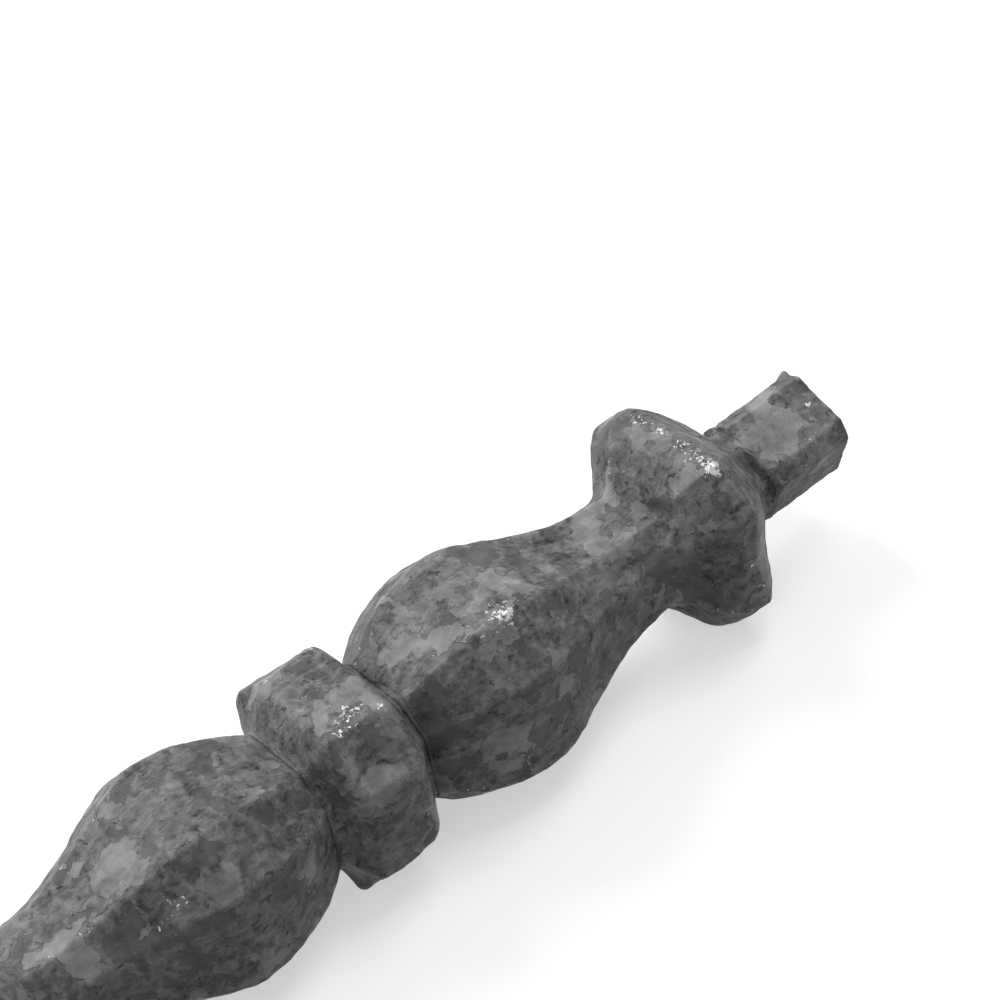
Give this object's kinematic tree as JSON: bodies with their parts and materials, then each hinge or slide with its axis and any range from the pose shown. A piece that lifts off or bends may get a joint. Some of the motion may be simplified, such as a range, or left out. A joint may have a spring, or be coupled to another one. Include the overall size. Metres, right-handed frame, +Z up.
{
  "type": "forged railing ornament",
  "caption": "Solid forged octagonal centre piece for a railing baluster: a ring between two swelling bulbs, necks, flared collars and square bar stubs.",
  "frame": {"origin": "under the middle of the ring, on the surface that the piece lies on", "axes": "+X along the piece towards end_a, +Z up, with a wide facet of both collars flat on the surface"},
  "size_m": [0.21, 0.036, 0.036],
  "materials": {
    "forge_scale": "matte"
  },
  "bodies": {
    "root": {"forged_baluster": "forge_scale"}
  },
  "joints": []
}
